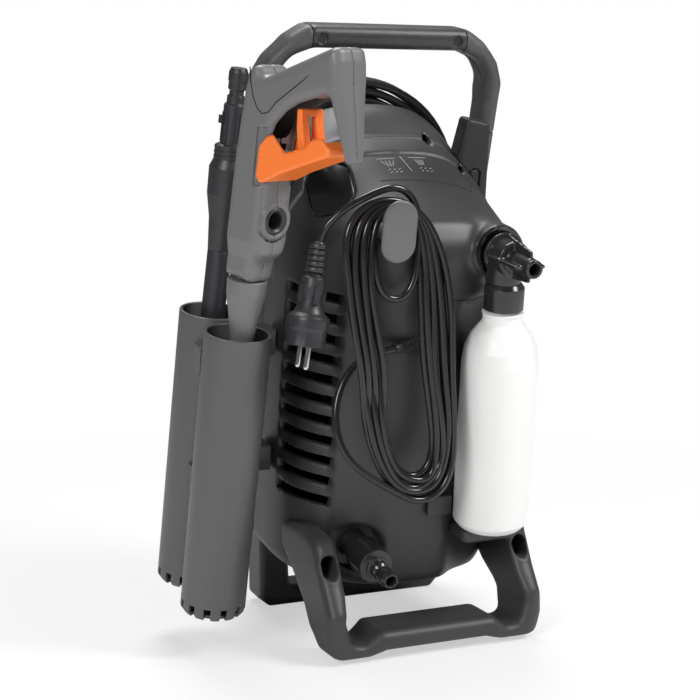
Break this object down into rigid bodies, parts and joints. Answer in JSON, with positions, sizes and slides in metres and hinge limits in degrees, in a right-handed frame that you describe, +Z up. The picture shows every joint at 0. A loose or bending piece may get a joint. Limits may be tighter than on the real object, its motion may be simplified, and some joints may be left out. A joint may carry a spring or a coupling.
{
  "type": "pressure washer",
  "caption": "Upright electric pressure washer leaning on two feet, with a hoop handle, trigger gun and lance in tube holsters, foam bottle and cord hook.",
  "frame": {"origin": "middle of the rear foot's bottom face, on the floor", "axes": "+X to the machine's left-to-right as seen from the front, +Y to the back, +Z up"},
  "size_m": [0.354, 0.3924, 0.5823],
  "materials": {
    "casing": "satin",
    "rear_foot_plastic": "satin",
    "gloss_black": "gloss",
    "handle_plastic": "satin",
    "holster_plastic": "satin",
    "gun_plastic": "satin",
    "black_plastic": "satin",
    "hook_plastic": "satin",
    "adapter_plastic": "gloss",
    "orange_plastic": "satin",
    "bottle_plastic": "satin",
    "cord_rubber": "gloss",
    "hose_rubber": "satin",
    "pin_metal": "polished",
    "screw_steel": "satin",
    "brass": "satin",
    "pump_metal": "satin",
    "core_steel": "satin"
  },
  "bodies": {
    "machine": {"bottle_rest": "casing", "case_screws": "screw_steel", "cord_feed": "cord_rubber", "cord_gland": "gloss_black", "cord_hank": "cord_rubber", "cord_tail": "cord_rubber", "foam_boss": "casing", "front_foot": "casing", "front_shell": "casing", "handle_arm_left": "handle_plastic", "handle_arm_right": "handle_plastic", "handle_grip": "handle_plastic", "holster_bracket": "casing", "holster_front": "holster_plastic", "holster_rear": "holster_plastic", "hose_coil": "hose_rubber", "hose_coupling": "brass", "hose_lead": "hose_rubber", "hose_nipple": "brass", "hose_tail": "hose_rubber", "inlet_filter": "black_plastic", "inlet_pipe": "black_plastic", "inlet_stub": "black_plastic", "motor_bearings": "core_steel", "motor_case": "pump_metal", "motor_stator": "core_steel", "nozzle_panel": "gloss_black", "outlet_fitting": "brass", "plug_body": "gloss_black", "plug_pins": "pin_metal", "post_bracket_left": "handle_plastic", "post_bracket_right": "handle_plastic", "post_socket_left": "handle_plastic", "post_socket_right": "handle_plastic", "pump_head": "pump_metal", "pump_housing": "pump_metal", "pump_pistons": "core_steel", "rear_foot": "rear_foot_plastic", "rear_shell": "casing", "switch_box": "black_plastic"},
    "rotor": {"motor_rotor": "core_steel", "motor_shaft": "core_steel", "motor_fan": "black_plastic", "wobble_plate": "core_steel"},
    "cord_hook": {"cord_hook": "hook_plastic"},
    "power_knob": {"power_knob": "gloss_black"},
    "inlet_adapter": {"inlet_adapter": "adapter_plastic"},
    "gun": {"gun_half_left": "gun_plastic", "gun_half_right": "gun_plastic", "gun_valve": "brass", "gun_port": "black_plastic", "gun_wand": "black_plastic"},
    "trigger": {"trigger": "orange_plastic"},
    "trigger_lock": {"trigger_lock": "orange_plastic"},
    "lance": {"lance_tube": "black_plastic", "lance_handle": "black_plastic"},
    "lance_nozzle": {"lance_nozzle": "black_plastic"},
    "foam_unit": {"foam_nozzle": "gloss_black", "foam_cap": "gloss_black"},
    "foam_bottle": {"foam_bottle": "bottle_plastic"}
  },
  "joints": [
    {"name": "rotor_spin", "type": "hinge", "parent": "machine", "child": "rotor", "pos_m": [0, -0.0964, 0.25493], "axis": [0, -0.1822, 0.9833], "continuous": true},
    {"name": "cord_hook_turn", "type": "hinge", "parent": "machine", "child": "cord_hook", "pos_m": [-0.056, -0.23262, 0.3863], "axis": [0, -0.9833, -0.1822], "range_deg": [0, 180]},
    {"name": "power_knob_turn", "type": "hinge", "parent": "machine", "child": "power_knob", "pos_m": [0.1203, -0.09131, 0.33723], "axis": [1, 0, 0], "range_deg": [0, 90]},
    {"name": "inlet_adapter_unscrew", "type": "hinge", "parent": "machine", "child": "inlet_adapter", "pos_m": [-0.056, -0.17722, 0.08739], "axis": [0, -0.9833, -0.1822], "continuous": true},
    {"name": "gun_draw", "type": "slide", "parent": "machine", "child": "gun", "axis": [0.0384, -0.1821, 0.9825], "range_m": [0, 0.3]},
    {"name": "trigger_squeeze", "type": "hinge", "parent": "gun", "child": "trigger", "pos_m": [-0.16406, -0.23071, 0.45919], "axis": [-0.939, -0.3429, -0.0269], "range_deg": [0, 10], "stiffness_Nm_per_rad": 0.1},
    {"name": "trigger_lock_fold", "type": "hinge", "parent": "trigger", "child": "trigger_lock", "pos_m": [-0.1493, -0.27133, 0.46177], "axis": [-0.939, -0.3429, -0.0269], "range_deg": [0, 40]},
    {"name": "lance_draw", "type": "slide", "parent": "machine", "child": "lance", "axis": [0.0576, -0.1819, 0.9816], "range_m": [0, 0.3]},
    {"name": "lance_nozzle_turn", "type": "hinge", "parent": "lance", "child": "lance_nozzle", "pos_m": [-0.194, -0.05866, 0.05679], "axis": [0.0576, -0.1819, 0.9816], "range_deg": [0, 180]},
    {"name": "foam_unit_pull", "type": "slide", "parent": "machine", "child": "foam_unit", "axis": [0, -0.9833, -0.1822], "range_m": [0, 0.06]},
    {"name": "foam_bottle_unscrew", "type": "hinge", "parent": "foam_unit", "child": "foam_bottle", "pos_m": [0.054, -0.23739, 0.36813], "axis": [0.0471, 0.182, -0.9822], "continuous": true}
  ]
}
